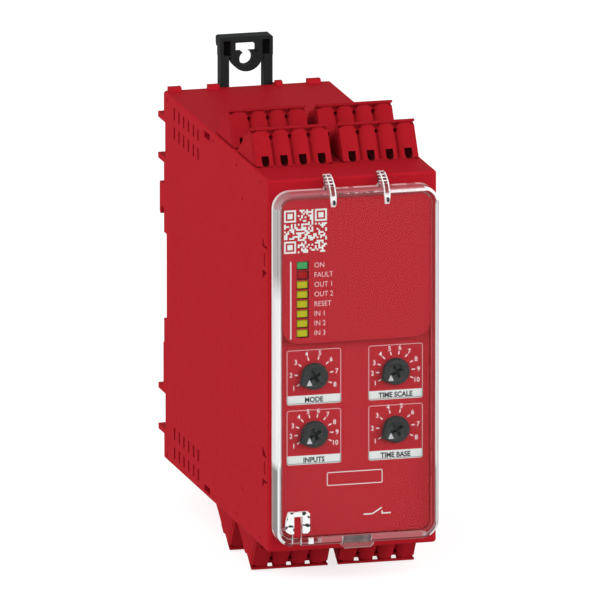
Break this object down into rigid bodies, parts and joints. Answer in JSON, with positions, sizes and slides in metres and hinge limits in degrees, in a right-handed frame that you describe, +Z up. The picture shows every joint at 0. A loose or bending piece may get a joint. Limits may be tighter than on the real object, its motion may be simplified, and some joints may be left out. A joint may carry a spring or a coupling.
{
  "type": "safety relay",
  "caption": "45 mm wide DIN-rail safety relay with pluggable spring terminals, clear hinged front cover, rotary selectors and status windows",
  "frame": {"origin": "middle of the DIN rail, on the rear plane that lies on the rail's brims, at mid width", "axes": "+Z up along the device's height, front faces -Y, +X to the right seen from the front"},
  "size_m": [0.045, 0.1188, 0.1207],
  "materials": {
    "housing_red": "satin moulded red plastic",
    "panel_red": "satin moulded red plastic",
    "plug_red": "satin moulded red plastic",
    "clamp_steel": "spring steel",
    "clear_plastic": "clear polycarbonate",
    "latch_black": "black moulded plastic",
    "switch_black": "black moulded plastic",
    "knob_black": "dark grey moulded plastic",
    "window_green": "lit green window",
    "window_red": "unlit red window",
    "window_yellow": "lit yellow-green window",
    "chip_white": "light-emitting diode",
    "board_green": "solder mask",
    "pin_tin": "tinned brass",
    "header_black": "black plastic",
    "relay_white": "off-white plastic",
    "transformer_core": "ferrite and bobbin",
    "capacitor_sleeve": "sleeved can",
    "fuse_body": "ceramic",
    "chip_black": "moulded package"
  },
  "bodies": {
    "root": {"housing_base": "housing_red", "front_panel": "panel_red", "rotary_switch_1": "switch_black", "rotary_switch_2": "switch_black", "rotary_switch_3": "switch_black", "rotary_switch_4": "switch_black", "led_window_power": "window_green", "led_window_fault": "window_red", "led_windows_status": "window_yellow", "led_chips": "chip_white", "front_board": "board_green", "main_board_left": "board_green", "main_board_right": "board_green", "terminal_board_top": "board_green", "terminal_board_bottom": "board_green", "board_connector_left": "header_black", "board_connector_right": "header_black", "link_strips": "header_black", "relay_1": "relay_white", "relay_2": "relay_white", "relay_3": "relay_white", "relay_4": "relay_white", "transformer": "transformer_core", "capacitors": "capacitor_sleeve", "fuse": "fuse_body", "microcontrollers": "chip_black", "header_pins_top": "pin_tin", "header_pins_bottom": "pin_tin", "header_top_left_rear": "header_black", "header_top_left_front": "header_black", "header_top_right_rear": "header_black", "header_top_right_front": "header_black", "header_bottom_left_rear": "header_black", "header_bottom_left_front": "header_black", "header_bottom_right_rear": "header_black", "header_bottom_right_front": "header_black"},
    "cover": {"clear_cover": "clear_plastic"},
    "latch": {"rail_latch": "latch_black"},
    "knob_1": {"selector_knob_1": "knob_black"},
    "knob_2": {"selector_knob_2": "knob_black"},
    "knob_3": {"selector_knob_3": "knob_black"},
    "knob_4": {"selector_knob_4": "knob_black"},
    "plug_top_left_rear": {"plug_top_left_rear": "plug_red", "clamps_top_left_rear": "clamp_steel"},
    "plug_top_left_front": {"plug_top_left_front": "plug_red", "clamps_top_left_front": "clamp_steel"},
    "plug_top_right_rear": {"plug_top_right_rear": "plug_red", "clamps_top_right_rear": "clamp_steel"},
    "plug_top_right_front": {"plug_top_right_front": "plug_red", "clamps_top_right_front": "clamp_steel"},
    "plug_bottom_left_rear": {"plug_bottom_left_rear": "plug_red", "clamps_bottom_left_rear": "clamp_steel"},
    "plug_bottom_left_front": {"plug_bottom_left_front": "plug_red", "clamps_bottom_left_front": "clamp_steel"},
    "plug_bottom_right_rear": {"plug_bottom_right_rear": "plug_red", "clamps_bottom_right_rear": "clamp_steel"},
    "plug_bottom_right_front": {"plug_bottom_right_front": "plug_red", "clamps_bottom_right_front": "clamp_steel"}
  },
  "joints": [
    {"name": "cover_hinge", "type": "hinge", "parent": "root", "child": "cover", "pos_m": [0, -0.1055, 0.04815], "axis": [-1, 0, 0], "range_deg": [0, 110]},
    {"name": "latch_slide", "type": "slide", "parent": "root", "child": "latch", "axis": [0, 0, 1], "range_m": [0, 0.004], "stiffness_N_per_m": 1500, "springref_m": -0.002},
    {"name": "selector_1_turn", "type": "hinge", "parent": "root", "child": "knob_1", "pos_m": [-0.01085, -0.1085, -0.00245], "axis": [0, 1, 0], "range_deg": [0, 234]},
    {"name": "selector_2_turn", "type": "hinge", "parent": "root", "child": "knob_2", "pos_m": [0.01085, -0.1085, -0.00245], "axis": [0, 1, 0], "range_deg": [0, 234]},
    {"name": "selector_3_turn", "type": "hinge", "parent": "root", "child": "knob_3", "pos_m": [-0.01085, -0.1085, -0.0178], "axis": [0, 1, 0], "range_deg": [0, 234]},
    {"name": "selector_4_turn", "type": "hinge", "parent": "root", "child": "knob_4", "pos_m": [0.01085, -0.1085, -0.0178], "axis": [0, 1, 0], "range_deg": [0, 234]},
    {"name": "plug_top_left_rear_pull", "type": "slide", "parent": "root", "child": "plug_top_left_rear", "axis": [0, 0, 1], "range_m": [0, 0.0135]},
    {"name": "plug_top_left_front_pull", "type": "slide", "parent": "root", "child": "plug_top_left_front", "axis": [0, 0, 1], "range_m": [0, 0.0135]},
    {"name": "plug_top_right_rear_pull", "type": "slide", "parent": "root", "child": "plug_top_right_rear", "axis": [0, 0, 1], "range_m": [0, 0.0135]},
    {"name": "plug_top_right_front_pull", "type": "slide", "parent": "root", "child": "plug_top_right_front", "axis": [0, 0, 1], "range_m": [0, 0.0135]},
    {"name": "plug_bottom_left_rear_pull", "type": "slide", "parent": "root", "child": "plug_bottom_left_rear", "axis": [0, 0, -1], "range_m": [0, 0.0135]},
    {"name": "plug_bottom_left_front_pull", "type": "slide", "parent": "root", "child": "plug_bottom_left_front", "axis": [0, 0, -1], "range_m": [0, 0.0135]},
    {"name": "plug_bottom_right_rear_pull", "type": "slide", "parent": "root", "child": "plug_bottom_right_rear", "axis": [0, 0, -1], "range_m": [0, 0.0135]},
    {"name": "plug_bottom_right_front_pull", "type": "slide", "parent": "root", "child": "plug_bottom_right_front", "axis": [0, 0, -1], "range_m": [0, 0.0135]}
  ]
}
